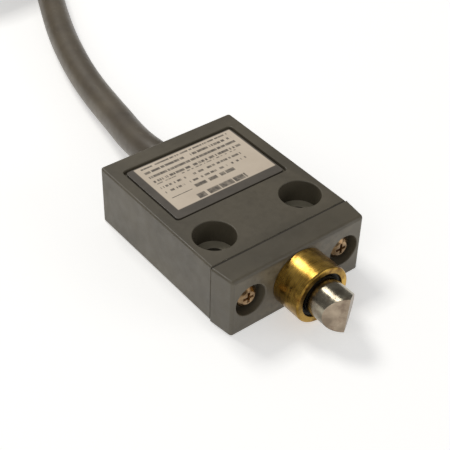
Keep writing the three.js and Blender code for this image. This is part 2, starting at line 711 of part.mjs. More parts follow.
// Last turn: up from the turn below it on to the top of the ring, then level.
const TAIL_LOW_Z = COIL_Z + COIL.pitch * (COIL.solidTurns - 1);
const TAIL_ROUTE = [];
for (let deg = TAIL.fromDeg; deg <= TAIL.toDeg; deg += TAIL.stepDeg) {
  const rise = THREE.MathUtils.smoothstep((deg - TAIL.fromDeg) / TAIL.riseDeg, 0, 1);
  TAIL_ROUTE.push(polarPoint(deg, COIL.r, TAIL_LOW_Z + COIL.pitch * rise));
}

add('cable_lead', tubeOutsideCoil(LEAD_ROUTE, 30), 'cable');
add('cable_coil', coilRing(0), 'cable');
add('cable_tail', tubeOutsideCoil(TAIL_ROUTE, 36), 'cable');

// Strap round the wound turns.
function coilTie(deg) {
  const inner = coilProfile(0.15).map(([r, z]) => new THREE.Vector2(r, z));
  const outer = coilProfile(0.15 + TIE.t).map(([r, z]) => new THREE.Vector2(r, z));
  const shape = new THREE.Shape(outer);
  shape.holes.push(new THREE.Path(inner));
  const g = new THREE.ExtrudeGeometry(shape, { depth: TIE.w, bevelEnabled: false });
  return g.translate(0, 0, -TIE.w / 2)
    .rotateX(Math.PI / 2)
    .rotateZ(THREE.MathUtils.degToRad(deg))
    .translate(COIL.x, COIL.y, 0);
}

TIE.deg.forEach((deg, i) => {
  add(['coil_tie_near', 'coil_tie_far'][i], coilTie(deg), 'rubber');
});

// Stripped end: four cores fanned out on top of the ring, each with a bare tinned tip.
const FAN = [
  { name: 'common', finish: 'coreBrown', side: -1, level: 1, spread: 0.25, restZ: 26.9 },
  { name: 'nc', finish: 'coreBlack', side: 1, level: 1, spread: -0.25, restZ: 26.9 },
  { name: 'no', finish: 'coreBlue', side: -1, level: -1, spread: -2, restZ: 26.1 },
  { name: 'earth', finish: 'coreEarth', side: 1, level: -1, spread: 2, restZ: 26.1 },
];
const FAN_OFFSET = 1.3;
const FAN_Z = TAIL_LOW_Z + COIL.pitch;

for (const core of FAN) {
  const startZ = FAN_Z + core.level * FAN_OFFSET;
  const at = (share, extra = 0) => {
    const spread = core.spread * THREE.MathUtils.smoothstep(share, 0.03, 0.6);
    const z = startZ + (core.restZ - startZ) * THREE.MathUtils.smoothstep(share, 0.1, 0.8);
    const deg = TAIL.toDeg + 0.35 + CORE_TAIL.lengthDeg * share + extra;
    return polarPoint(deg, COIL.r + core.side * FAN_OFFSET + spread, z);
  };
  const route = [0, 0.12, 0.3, 0.5, 0.7, 0.85, 1].map((share) => at(share));
  add(`core_${core.name}`, tube(route, CORE_TAIL.r, 8, 12), core.finish);
  const tip = [at(1, 0.15), at(1, CORE_TAIL.tipDeg / 2), at(1, CORE_TAIL.tipDeg)];
  add(`tip_${core.name}`, tube(tip, CORE_TAIL.tipR, 8, 3), 'silver');
}

export default model;
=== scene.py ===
"""Looks of the prewired limit switch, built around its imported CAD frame. Metres, +Z up."""
import bmesh
import bpy
import json
import math
from mathutils import Matrix, Vector


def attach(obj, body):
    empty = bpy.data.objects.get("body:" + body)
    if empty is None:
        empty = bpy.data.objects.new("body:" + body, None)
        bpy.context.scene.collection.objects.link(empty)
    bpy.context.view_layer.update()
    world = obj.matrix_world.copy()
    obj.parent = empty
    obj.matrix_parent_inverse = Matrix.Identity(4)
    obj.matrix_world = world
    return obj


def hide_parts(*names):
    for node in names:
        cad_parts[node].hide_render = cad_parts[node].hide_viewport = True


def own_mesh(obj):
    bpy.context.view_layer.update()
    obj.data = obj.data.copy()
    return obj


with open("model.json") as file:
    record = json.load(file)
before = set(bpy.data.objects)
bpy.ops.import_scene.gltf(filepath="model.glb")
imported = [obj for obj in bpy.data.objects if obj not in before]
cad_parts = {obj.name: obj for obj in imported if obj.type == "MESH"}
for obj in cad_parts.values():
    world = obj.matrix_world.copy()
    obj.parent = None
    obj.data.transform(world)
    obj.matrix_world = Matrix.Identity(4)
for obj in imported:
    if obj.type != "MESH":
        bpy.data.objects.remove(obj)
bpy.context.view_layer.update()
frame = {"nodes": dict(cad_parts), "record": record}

MM = 0.001
AXIS_Z = 8.05                     # height of the plunger and of the cable outlet, in mm
SMOOTH_DEG = 32

# ------------------------------------------------------------------ camera
LENS_MM, SENSOR_MM = 86.23, 36
CAM_AZIMUTH, CAM_ELEVATION, CAM_ROLL = -38.875, 40.191, 1.664     # degrees
CAM_DISTANCE = 253.663            # from the target, in mm
CAM_TARGET = (-2.525, 8.793, 8.0)
CAM_NEAR, CAM_FAR = 0.01, 20      # metres


def mm(x, y, z):
    """A place given in mm, as a vector in metres."""
    return Vector((x, y, z)) * MM


def add_object(name, data):
    obj = bpy.data.objects.new(name, data)
    bpy.context.scene.collection.objects.link(obj)
    return obj


def make_camera():
    a, e, r = (math.radians(v) for v in (CAM_AZIMUTH, CAM_ELEVATION, CAM_ROLL))
    back = Vector((math.sin(a) * math.cos(e), -math.cos(a) * math.cos(e), math.sin(e)))
    right = (-back).cross(Vector((0, 0, 1))).normalized()
    up = right.cross(-back)
    turned_right = math.cos(r) * right + math.sin(r) * up
    turned_up = math.cos(r) * up - math.sin(r) * right
    data = bpy.data.cameras.new("camera")
    data.lens = LENS_MM
    data.sensor_width = SENSOR_MM
    data.clip_start, data.clip_end = CAM_NEAR, CAM_FAR
    cam = add_object("camera", data)
    turn = Matrix((turned_right, turned_up, back)).transposed()
    cam.matrix_world = Matrix.Translation(mm(*CAM_TARGET) + back * CAM_DISTANCE * MM) @ turn.to_4x4()
    bpy.context.scene.camera = cam


make_camera()


# ------------------------------------------------------------------ material helper
class Nodes:
    """Short way to wire a procedural material in row frame coordinates."""

    def __init__(self, name, **surface):
        self.mat = bpy.data.materials.new(name)
        self.mat.use_nodes = True
        self.tree = self.mat.node_tree
        self.shader = self.tree.nodes["Principled BSDF"]
        self.coords = self.tree.nodes.new("ShaderNodeTexCoord").outputs["Object"]
        for key, value in surface.items():
            self.shader.inputs[key.replace("_", " ")].default_value = value

    def put(self, kind, inputs=(), **settings):
        node = self.tree.nodes.new(kind)
        for key, value in settings.items():
            setattr(node, key, value)
        for key, value in dict(inputs).items():
            self.link(value, node.inputs[key])
        return node

    def link(self, value, socket):
        if isinstance(value, bpy.types.NodeSocket):
            self.tree.links.new(value, socket)
        else:
            socket.default_value = value

    def math(self, operation, a, b=0.0, c=0.0, clamp=False):
        node = self.put("ShaderNodeMath", {0: a, 1: b, 2: c}, operation=operation)
        node.use_clamp = clamp
        return node.outputs[0]

    def scaled(self, scale):
        node = self.put("ShaderNodeMapping", {"Vector": self.coords})
        node.inputs["Scale"].default_value = scale
        return node.outputs["Vector"]

    def noise(self, scale, detail=4.0, rough=0.55, vector=None):
        return self.put("ShaderNodeTexNoise", {
            "Vector": vector or self.coords, "Scale": scale, "Detail": detail, "Roughness": rough,
        }).outputs["Fac"]

    def ramp(self, value, low, high, a=0.0, b=1.0):
        return self.put("ShaderNodeMapRange", {
            "Value": value, "From Min": low, "From Max": high, "To Min": a, "To Max": b,
        }).outputs["Result"]

    def mix(self, factor, a, b):
        node = self.put("ShaderNodeMix", data_type="RGBA")
        self.link(factor, node.inputs[0])
        self.link(a, node.inputs[6])
        self.link(b, node.inputs[7])
        return node.outputs[2]

    def edges(self, low=0.52, high=0.62):
        point = self.put("ShaderNodeNewGeometry").outputs["Pointiness"]
        return self.ramp(point, low, high)

    def set(self, **sockets):
        for key, value in sockets.items():
            self.link(value, self.shader.inputs[key.replace("_", " ")])

    def bump(self, *layers):
        """Each layer is (height, strength, distance in metres)."""
        normal = None
        for height, strength, distance in layers:
            node = self.put("ShaderNodeBump", {"Height": height})
            node.inputs["Strength"].default_value = strength
            node.inputs["Distance"].default_value = distance
            if normal is not None:
                self.tree.links.new(normal, node.inputs["Normal"])
            normal = node.outputs["Normal"]
        self.tree.links.new(normal, self.shader.inputs["Normal"])


def rgb(r, g, b):
    """Linear colour from 0-255 display values."""
    out = []
    for v in (r, g, b):
        c = v / 255
        out.append(c / 12.92 if c <= 0.04045 else ((c + 0.055) / 1.055) ** 2.4)
    return (*out, 1.0)


def painted_casting():
    n = Nodes("painted_casting", Metallic=0.0, Coat_Weight=0.12, Coat_Roughness=0.3)
    broad = n.noise(55, 3)
    fine = n.noise(900, 5, 0.65)
    specks = n.ramp(n.noise(2600, 2), 0.68, 0.74)
    base = n.mix(n.ramp(broad, 0.35, 0.65), rgb(82, 76, 63), rgb(95, 88, 73))
    base = n.mix(n.math("MULTIPLY", n.ramp(fine, 0.5, 0.75), 0.35), base, rgb(98, 91, 80))
    base = n.mix(n.math("MULTIPLY", specks, 0.4), base, rgb(40, 37, 33))
    # Convex edges go paler: rubbed paint, and partly a painted highlight along the edges.
    rubbed_and_highlighted_edges = n.math("MULTIPLY", n.edges(0.53, 0.62), n.ramp(n.noise(700, 4), 0.3, 0.6))
    base = n.mix(n.math("MULTIPLY", rubbed_and_highlighted_edges, 0.6), base, rgb(158, 148, 128))
    n.set(Base_Color=base, Roughness=n.ramp(n.noise(350, 4), 0.3, 0.7, 0.40, 0.56))
    n.bump((fine, 0.28, 0.00006), (n.noise(260, 3), 0.3, 0.00012))
    return n.mat


def metal(name, dark, light, rough, streak=(1, 1, 1), scratch=0.25, tint=None):
    """Machined metal; streak stretches the tool marks."""
    n = Nodes(name, Metallic=1.0)
    marks = n.noise(1.0, 5, 0.6, n.scaled(tuple(4200 * s for s in streak)))
    broad = n.noise(240, 3)
    base = n.mix(n.ramp(broad, 0.35, 0.65), rgb(*dark), rgb(*light))
    if tint:
        base = n.mix(n.ramp(n.noise(420, 4), 0.52, 0.74), base, rgb(*tint))
    shade = n.ramp(marks, 0.3, 0.7, 0.9, 1.06)
    node = n.put("ShaderNodeVectorMath", {0: base}, operation="SCALE")
    n.link(shade, node.inputs["Scale"])
    n.set(Base_Color=node.outputs[0], Roughness=n.ramp(marks, 0.3, 0.7, rough - 0.06, rough + 0.08))
    n.bump((marks, scratch, 0.00002), (broad, 0.12, 0.00006))
    return n.mat


def soft_plastic(name, dark, light, rough=(0.5, 0.68), grain=1500, depth=0.00003, sheen=0.0):
    n = Nodes(name, Metallic=0.0, Sheen_Weight=sheen)
    fine = n.noise(grain, 5, 0.6)
    base = n.mix(n.ramp(n.noise(130, 4), 0.3, 0.7), rgb(*dark), rgb(*light))
    n.set(Base_Color=base, Roughness=n.ramp(n.noise(500, 3), 0.3, 0.7, *rough))
    n.bump((fine, 0.35, depth), (n.noise(220, 2), 0.2, 0.00008))
    return n.mat


def cable_jacket():
    n = Nodes("cable_jacket", Metallic=0.0, Coat_Weight=0.35, Coat_Roughness=0.32)
    grain = n.noise(1300, 5, 0.6)
    broad = n.noise(70, 3)
    base = n.mix(n.ramp(broad, 0.35, 0.65), rgb(84, 75, 62), rgb(104, 94, 78))
    scuff = n.ramp(n.noise(1.0, 4, 0.6, n.scaled((900, 260, 900))), 0.6, 0.75)
    base = n.mix(n.math("MULTIPLY", scuff, 0.25), base, rgb(138, 127, 106))
    n.set(Base_Color=base, Roughness=n.ramp(n.noise(480, 4), 0.3, 0.7, 0.42, 0.6))
    n.bump((grain, 0.3, 0.00004), (broad, 0.2, 0.0002))
    return n.mat


# ------------------------------------------------------------------ mesh helpers
def smooth(mesh, degrees=SMOOTH_DEG):
    for p in mesh.polygons:
        p.use_smooth = True
    mesh.set_sharp_from_angle(angle=math.radians(degrees))


def piece(name, mesh, material, body, slot_name, *nodes):
    """A finished mesh as a visible piece on a body, in place of CAD nodes."""
    smooth(mesh)
    mesh = modified(name, mesh, [("WEIGHTED_NORMAL", {"keep_sharp": True, "weight": 100})])
    mesh.name = name
    mesh.materials.clear()
    mesh.materials.append(material)
    obj = add_object(name, mesh)
    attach(obj, body)
    if nodes:
        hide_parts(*nodes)
    return obj


def as_mesh(name, bm):
    bmesh.ops.recalc_face_normals(bm, faces=bm.faces)
    if bm.calc_volume(signed=True) < 0:
        bmesh.ops.reverse_faces(bm, faces=bm.faces)
    mesh = bpy.data.meshes.new(name)
    bm.to_mesh(mesh)
    bm.free()
    return mesh


def modified(name, mesh, setups):
    """The mesh with modifiers applied; setups are (type, {setting: value})."""
    obj = add_object(name, mesh)
    for i, (kind, settings) in enumerate(setups):
        m = obj.modifiers.new(f"step_{i}", kind)
        for key, value in settings.items():
            setattr(m, key, value)
    depsgraph = bpy.context.evaluated_depsgraph_get()
    made = bpy.data.meshes.new_from_object(obj.evaluated_get(depsgraph))
    bpy.data.objects.remove(obj)
    return made


def bridge(bm, rings):
    """Sides between closed rings of vertices, and a cap on the first and the last ring."""
    for low, high in zip(rings, rings[1:]):
        for i in range(len(low)):
            j = (i + 1) % len(low)
            bm.faces.new([low[i], low[j], high[j], high[i]])
    bm.faces.new(list(reversed(rings[0])))
    bm.faces.new(rings[-1])


def boolean(name, base, cutters):
    """base with the cutter meshes taken away one by one; the solver works on the shapes scaled up."""
    enlarge = Matrix.Scale(1 / MM, 4)
    base.transform(enlarge)
    for cutter in cutters:
        cutter.transform(enlarge)
        tool = add_object("cutter", cutter)
        base = modified(name, base, [
            ("BOOLEAN", {"operation": "DIFFERENCE", "solver": "EXACT", "object": tool}),
        ])
        bpy.data.objects.remove(tool)
    base.transform(Matrix.Scale(MM, 4))
    return base


def rounded(points, radii, steps=4):
    """Closed polygon with its corners rounded; points and radii in mm."""
    out = []
    count = len(points)
    for i in range(count):
        p = Vector(points[i])
        a = Vector(points[i - 1]) - p
        b = Vector(points[(i + 1) % count]) - p
        r = radii[i] if isinstance(radii, (list, tuple)) else radii
        if r <= 0:
            out.append(tuple(p))
            continue
        half = a.angle(b) / 2
        reach = min(r / math.tan(half), 0.49 * a.length, 0.49 * b.length)
        start, end = p + a.normalized() * reach, p + b.normalized() * reach
        for k in range(steps + 1):
            t = k / steps
            out.append(tuple((1 - t) ** 2 * start + 2 * t * (1 - t) * p + t * t * end))
    return out


def lathe(name, profile, sides=96, x=0.0, z=AXIS_Z, steps=4):
    """Turned piece about an axis along Y; profile is a closed list of (radius, y, corner radius)."""
    ring = rounded([p[:2] for p in profile], [p[2] for p in profile], steps)
    bm = bmesh.new()
    loops = []
    for k in range(sides):
        a = 2 * math.pi * k / sides
        loops.append([
            bm.verts.new(mm(x + max(r, 0) * math.cos(a), y, z + max(r, 0) * math.sin(a)))
            for r, y in ring
        ])
    for k in range(sides):
        here, there = loops[k], loops[(k + 1) % sides]
        for i in range(len(ring)):
            j = (i + 1) % len(ring)
            if ring[i][0] < 1e-6 and ring[j][0] < 1e-6:
                continue
            bm.faces.new([here[i], here[j], there[j], there[i]])
    bmesh.ops.remove_doubles(bm, verts=bm.verts, dist=1e-7)
    bmesh.ops.dissolve_degenerate(bm, dist=1e-8, edges=bm.edges)
    return as_mesh(name, bm)


def soft_block(name, outline, z0, z1, upright, top, bottom, segments=4):
    """Block over a plan outline in mm; upright, top and bottom are the radii of its edges."""
    widest = max(*upright, *top, *bottom)
    bm = bmesh.new()
    weight = bm.edges.layers.float.new("bevel_weight_edge")
    low = [bm.verts.new(mm(x, y, z0)) for x, y in outline]
    high = [bm.verts.new(mm(x, y, z1)) for x, y in outline]
    bridge(bm, [low, high])
    for i in range(len(outline)):
        j = (i + 1) % len(outline)
        for ends, radius in (
            ((low[i], high[i]), upright[i]), ((high[i], high[j]), top[i]), ((low[i], low[j]), bottom[i]),
        ):
            bm.edges.get(ends)[weight] = radius / widest
    mesh = as_mesh(name, bm)
    return modified(name, mesh, [("BEVEL", {
        "width": widest * MM, "segments": segments, "limit_method": "WEIGHT", "use_clamp_overlap": False,
    })])


def post_z(profile, x, y, sides=96):
    """Cutter along Z; profile is a list of (radius, height) going up."""
    bm = bmesh.new()
    rings = []
    for radius, z in profile:
        angles = [2 * math.pi * k / sides for k in range(sides)]
        rings.append([
            bm.verts.new(mm(x + radius * math.cos(a), y + radius * math.sin(a), z)) for a in angles
        ])
    bridge(bm, rings)
    return as_mesh("cutter", bm)


def rod_y(profile, x=0.0, z=AXIS_Z, sides=96):
    """Cutter along Y; profile is a list of (radius, y) going towards +Y."""
    y0, y1 = profile[0][1], profile[-1][1]
    return lathe("cutter", [(0, y0, 0), *((r, y, 0) for r, y in profile), (0, y1, 0)], sides, x, z)


def mouth(r, at, flare, outside):
    """Profile of a rounded rim: radius r opens out by flare where the cutter leaves the surface."""
    way = 1 if outside > at else -1
    return [
        (r, at - way * flare), (r + flare * 0.12, at - way * flare * 0.55),
        (r + flare * 0.45, at - way * flare * 0.15), (r + flare, at + way * 0.02), (r + flare, outside),
    ]


def plan_cutter(outline, levels):
    """Cutter over a plan outline; levels are (height, growth of the outline)."""
    centre = Vector((sum(p[0] for p in outline), sum(p[1] for p in outline))) / len(outline)
    bm = bmesh.new()
    rings = []
    for z, grow in levels:
        ring = []
        for p in outline:
            away = Vector(p) - centre
            ring.append(bm.verts.new(mm(
                p[0] + math.copysign(grow, away.x), p[1] + math.copysign(grow, away.y), z,
            )))
        rings.append(ring)
    bridge(bm, rings)
    return as_mesh("cutter", bm)


def block(x0, x1, y0, y1, z0, z1):
    outline = [(x0, y0), (x1, y0), (x1, y1), (x0, y1)]
    return plan_cutter(outline, [(z0, 0), (z1, 0)])


def helix(name, mean_r, wire_r, turns, y0, y1, sides=10, per_turn=28):
    """Coil spring round the plunger's axis, its end turns lying closed and flat."""
    closed = 0.75                 # part of a turn that lies flat at each end
    along = Vector((0, 1, 0))
    bm = bmesh.new()
    steps = turns * per_turn
    rings = []
    for i in range(steps + 1):
        t = i / steps
        share = min(max((t * turns - closed) / (turns - 2 * closed), 0.0), 1.0)
        closed_rise = 2 * wire_r * (min(t * turns, closed) + max(t * turns - turns + closed, 0.0))
        y = y0 + closed_rise + share * (y1 - y0 - 4 * closed * wire_r)
        a = 2 * math.pi * turns * t
        out = Vector((math.cos(a), 0, math.sin(a)))
        centre = Vector((mean_r * out.x, y, AXIS_Z + mean_r * out.z))
        ring = []
        for k in range(sides):
            b = 2 * math.pi * k / sides
            ring.append(bm.verts.new((centre + wire_r * (out * math.cos(b) + along * math.sin(b))) * MM))
        rings.append(ring)
    bridge(bm, rings)
    return as_mesh(name, bm)


# ------------------------------------------------------------------ printed plate
def printed_plate():
    """Grey border round a pale field with rows of short dark bars and a bolder row."""
    n = Nodes("printed_plate", Metallic=0.0, Coat_Weight=0.25, Coat_Roughness=0.25)
    split = n.put("ShaderNodeSeparateXYZ", {0: n.scaled((1000, 1000, 1000))})
    x, y = split.outputs["X"], split.outputs["Y"]

    def inside(value, low, high, soft=0.12):
        rise = n.ramp(value, low - soft, low + soft)
        fall = n.ramp(value, high - soft, high + soft, 1, 0)
        return n.math("MULTIPLY", rise, fall)

    def window(x0, x1, y0, y1):
        return n.math("MULTIPLY", inside(x, x0, x1), inside(y, y0, y1))

    def rows(pitch, thick, seed, spread, gap, field):
        """Rows of broken bars in a window: greeked print."""
        row = n.math("FLOOR", n.math("DIVIDE", y, pitch))
        within = n.math("SUBTRACT", n.math("DIVIDE", y, pitch), row)
        line = inside(within, 0.3, 0.3 + thick, 0.06)
        place = n.put("ShaderNodeCombineXYZ", {
            "X": n.math("MULTIPLY", x, spread), "Y": n.math("MULTIPLY", row, seed),
        })
        cells = n.put("ShaderNodeTexNoise", {"Vector": place.outputs[0], "Scale": 1.0, "Detail": 1.0})
        broken = n.ramp(cells.outputs["Fac"], gap - 0.02, gap + 0.02)
        return n.math("MULTIPLY", n.math("MULTIPLY", line, broken), field)

    field = window(-13.6, 15.2, 12.1, 30.3)
    small = rows(
        pitch=1.9, thick=0.44, seed=7.31, spread=1.5, gap=0.42, field=window(-12.2, 13.6, 23.1, 29.6),
    )
    sparse = rows(
        pitch=2.0, thick=0.36, seed=3.17, spread=1.25, gap=0.5, field=window(-12.2, 11.5, 18.2, 22.9),
    )
    medium = rows(
        pitch=2.6, thick=0.45, seed=5.7, spread=0.95, gap=0.4, field=window(-5.2, 6.4, 15.5, 18.1),
    )
    bold = rows(
        pitch=2.9, thick=0.62, seed=9.1, spread=0.8, gap=0.36, field=window(-7.0, 7.2, 12.4, 14.8),
    )
    rule = n.math("MULTIPLY", inside(y, 16.35, 16.6, 0.05), inside(x, -12.2, -6.4))
    ink = n.math("MAXIMUM", n.math("MAXIMUM", small, sparse), n.math("MAXIMUM", bold, rule))
    ink = n.math("MAXIMUM", ink, medium)
    wear = n.ramp(n.noise(900, 4), 0.35, 0.6, 0.65, 1.0)
    ink = n.math("MULTIPLY", ink, wear, clamp=True)
    pale = n.mix(n.ramp(n.noise(120, 4), 0.3, 0.7), rgb(224, 208, 188), rgb(236, 221, 201))
    border = n.mix(n.ramp(n.noise(200, 4), 0.3, 0.7), rgb(84, 78, 70), rgb(100, 93, 84))
    base = n.mix(field, border, pale)
    base = n.mix(n.math("MULTIPLY", ink, 0.88), base, rgb(62, 57, 52))
    scuff = n.ramp(n.noise(1.0, 5, 0.7, n.scaled((240, 1600, 1000))), 0.66, 0.74)
    base = n.mix(n.math("MULTIPLY", scuff, 0.22), base, rgb(150, 140, 126))
    n.set(Base_Color=base, Roughness=n.ramp(n.noise(500, 4), 0.3, 0.7, 0.38, 0.52))
    n.bump((ink, 0.12, 0.00002), (n.noise(700, 4), 0.15, 0.00002), (n.noise(90, 2), 0.15, 0.0002))
    return n.mat


MATERIALS = {
    "casting": painted_casting(),
    "plate": printed_plate(),
    "brass": metal(
        "brass", (128, 98, 38), (202, 163, 80), rough=0.27, streak=(0.05, 1, 0.05), scratch=0.22,
        tint=(96, 62, 24),
    ),
    "steel": metal(
        "steel", (116, 110, 97), (172, 165, 147), rough=0.2, streak=(0.35, 0.35, 1.2), scratch=0.3,
        tint=(128, 112, 96),
    ),
    "rubber": soft_plastic("rubber", (26, 23, 20), (40, 36, 31), (0.55, 0.72), 1100, 0.000008),
    "nylon": soft_plastic("nylon", (210, 203, 185), (230, 224, 207), (0.35, 0.5)),
    "phenolic": soft_plastic("phenolic", (38, 26, 20), (56, 39, 30), (0.35, 0.5)),
    "copper": metal("copper", (160, 92, 54), (196, 120, 76), 0.3),
    "silver": metal("silver", (188, 186, 180), (222, 220, 214), 0.22),
    "resin": soft_plastic("resin", (26, 24, 21), (44, 41, 36), (0.25, 0.45), 420, 0.00006),
    "insulation": soft_plastic("insulation", (164, 142, 106), (192, 170, 134), (0.7, 0.85), 2200),
    "cable_jacket": cable_jacket(),
    "tie": soft_plastic("tie", (24, 23, 22), (38, 36, 34), (0.4, 0.55)),
    "core_brown": soft_plastic("core_brown", (76, 46, 26), (98, 62, 37), (0.35, 0.5)),
    "core_black": soft_plastic("core_black", (22, 22, 22), (36, 36, 36), (0.35, 0.5)),
    "core_blue": soft_plastic("core_blue", (36, 66, 126), (52, 88, 156), (0.35, 0.5)),
    "core_green": soft_plastic("core_green", (84, 122, 46), (112, 152, 62), (0.35, 0.5)),
}
CHISEL_STEEL = metal(
    "chisel_steel", (132, 118, 102), (176, 160, 140), rough=0.34, streak=(0.2, 1.2, 1.2), scratch=0.35,
    tint=(118, 98, 84),
)
# Paler counterbore floors: painted light where the floors lie in shade, on a guessed bare spot-faced finish.
COUNTERBORE_FLOOR_PAINTED_LIGHT = soft_plastic("counterbore_floor_painted_light", (150, 144, 127), (178, 171, 152), (0.4, 0.55), 1600, 0.00001)
ZINC = metal(
    "zinc_screw", (104, 84, 60), (176, 148, 114), rough=0.24, streak=(1, 0.3, 1), scratch=0.3,
    tint=(120, 84, 48),
)

NODE_SLOT = {entry["node"]: entry["material_slot"] for entry in frame["record"]["subparts"]}
for node_name, node in frame["nodes"].items():
    node.data.materials.clear()
    node.data.materials.append(MATERIALS[NODE_SLOT[node_name]])

# ------------------------------------------------------------------ castings and what closes them
# Lengths in mm. Each cutter runs past the surface that it starts from.
BODY_HALF, BODY_T = 19.5, 16.0
SEAM_Y, REAR_Y = -7.75, 35.75
SEAM_EDGE = 0.15                  # edge radius where the castings meet
HOLE_X, HOLE_R, CBORE_R, CBORE_FLOOR = 12.5, 2.55, 5.0, 10.0
RECESS_HALF, RECESS_Y0, RECESS_Y1, RECESS_FLOOR = 16.25, 8.85, 31.25, 15.1
CHAMBER_HALF, CHAMBER_Y0, CHAMBER_Z0, CHAMBER_Z1 = 13.5, 7.75, 2.5, 13.6
BORE_R, BORE_END_Y, PASSAGE_R = 6.2, 6.3, 4.1
EARTH_X, EARTH_Y, EARTH_R, EARTH_Z0, EARTH_Z1 = -10.4, 27.4, 1.25, 0.7, 3.5
SCREW_X, SCREW_Z = 13.6, 8.2
WELL_R, WELL_END_Y = 1.55, -3.5   # the cap screws' holes in the housing

CAP_FRONT_Y, CAP_REAR_Y = -14.75, -8.25
CAP_FRONT_HALF, CAP_REAR_HALF = 18.95, 19.8
BUSH_HOLE_R, CIRCLIP_R, CIRCLIP_Y = 6.0, 7.1, -9.8
POCKET_R, POCKET_FLOOR_Y, SCREW_HOLE_R = 4.1, -11.75, 1.65
PAST_FRONT_Y, PAST_REAR_Y = -16, -7

GASKET_INSET, GASKET_Y0, GASKET_Y1, GASKET_EDGE = 0.16, -8.2, -7.8, 0.08
PAST_GASKET_Y = -9

PLATE_HALF, PLATE_Y0, PLATE_Y1, PLATE_Z0, PLATE_Z1 = 15.65, 9.45, 30.65, 15.15, 15.75


def housing():
    outline = [(-BODY_HALF, SEAM_Y), (BODY_HALF, SEAM_Y), (BODY_HALF, REAR_Y), (-BODY_HALF, REAR_Y)]
    base = soft_block(
        "housing_fine", outline, 0, BODY_T,
        upright=(SEAM_EDGE, SEAM_EDGE, 0.9, 0.9), top=(SEAM_EDGE, 0.55, 0.5, 0.55),
        bottom=(SEAM_EDGE, 0.45, 0.45, 0.45),
    )
    recess = rounded([
        (-RECESS_HALF, RECESS_Y0), (RECESS_HALF, RECESS_Y0),
        (RECESS_HALF, RECESS_Y1), (-RECESS_HALF, RECESS_Y1),
    ], 1.1, 6)
    cutters = [
        plan_cutter(recess, [
            (RECESS_FLOOR, -0.12), (RECESS_FLOOR + 0.12, 0), (BODY_T - 0.25, 0), (BODY_T - 0.1, 0.05),
            (BODY_T, 0.18), (BODY_T + 1, 0.18),
        ]),
        rod_y([
            *reversed(mouth(BORE_R, SEAM_Y, 0.25, SEAM_Y - 1)), (BORE_R, BORE_END_Y),
            (PASSAGE_R, BORE_END_Y), (PASSAGE_R, CHAMBER_Y0 + 1),
        ]),
        block(-CHAMBER_HALF, CHAMBER_HALF, CHAMBER_Y0, REAR_Y + 1, CHAMBER_Z0, CHAMBER_Z1),
        post_z([(EARTH_R, EARTH_Z0), (EARTH_R, EARTH_Z1)], EARTH_X, EARTH_Y, sides=40),
    ]
    for x in (-HOLE_X, HOLE_X):
        cutters.append(post_z([
            *reversed(mouth(HOLE_R, 0, 0.2, -1)),
            *mouth(HOLE_R, CBORE_FLOOR, 0.18, CBORE_FLOOR + 0.02)[:4],
            (CBORE_R, CBORE_FLOOR + 0.021), *mouth(CBORE_R, BODY_T, 0.28, BODY_T + 1),
        ], x, 0))
    for x in (-SCREW_X, SCREW_X):
        cutters.append(rod_y([(WELL_R, SEAM_Y - 1), (WELL_R, WELL_END_Y)], x, SCREW_Z, sides=40))
    return boolean("housing_fine", base, cutters)


def front_cap():
    outline = [
        (-CAP_FRONT_HALF, CAP_FRONT_Y), (CAP_FRONT_HALF, CAP_FRONT_Y),
        (CAP_REAR_HALF, CAP_REAR_Y), (-CAP_REAR_HALF, CAP_REAR_Y),
    ]
    base = soft_block(
        "front_cap_fine", outline, 0, BODY_T,
        upright=(0.8, 0.8, SEAM_EDGE, SEAM_EDGE), top=(0.95, 0.6, SEAM_EDGE, 0.6),
        bottom=(0.5, 0.45, SEAM_EDGE, 0.45), segments=5,
    )
    cutters = [rod_y([
        (BUSH_HOLE_R, PAST_FRONT_Y), (BUSH_HOLE_R, CIRCLIP_Y),
        (CIRCLIP_R, CIRCLIP_Y), (CIRCLIP_R, PAST_REAR_Y),
    ])]
    for x in (-SCREW_X, SCREW_X):
        cutters.append(rod_y([
            *reversed(mouth(POCKET_R, CAP_FRONT_Y, 0.28, PAST_FRONT_Y)), (POCKET_R, POCKET_FLOOR_Y),
            (SCREW_HOLE_R, POCKET_FLOOR_Y), (SCREW_HOLE_R, PAST_REAR_Y),
        ], x, SCREW_Z))
    return boolean("front_cap_fine", base, cutters)


def cross_cutter(x, top):
    """Plus-shaped recess in a screw's head, narrowing inwards."""
    long, half, depth, inner = 1.5, 0.35, 1.0, 0.72
    plus = [
        (long, -half), (long, half), (half, half), (half, long), (-half, long), (-half, half),
        (-long, half), (-long, -half), (-half, -half), (-half, -long), (half, -long), (half, -half),
    ]
    bm = bmesh.new()
    rings = []
    for y, share in ((top - 1, 1.0), (top, 1.0), (top + depth, inner)):
        rings.append([bm.verts.new(mm(x + u * share, y, SCREW_Z + v * share)) for u, v in plus])
    bridge(bm, rings)
    return as_mesh("cutter", bm)


def cap_screw(name, x):
    top, seat, chamfer, end = -13.9, -11.8, -4.1, -3.7
    head_r, shank_r = 2.8, 1.5
    head = lathe(name, [
        (0, top, 0), (1.75, top, 0.5), (head_r, top + 0.75, 0.5), (head_r, seat, 0.12),
        (shank_r, seat, 0.1), (shank_r, chamfer, 0.1), (1.1, end, 0.1), (0, end, 0),
    ], 72, x, SCREW_Z, 5)
    cut = boolean(name, head, [cross_cutter(x, top)])
    return modified(name, cut, [("BEVEL", {
        "width": 0.06 * MM, "segments": 2, "limit_method": "ANGLE", "angle_limit": math.radians(50),
    })])


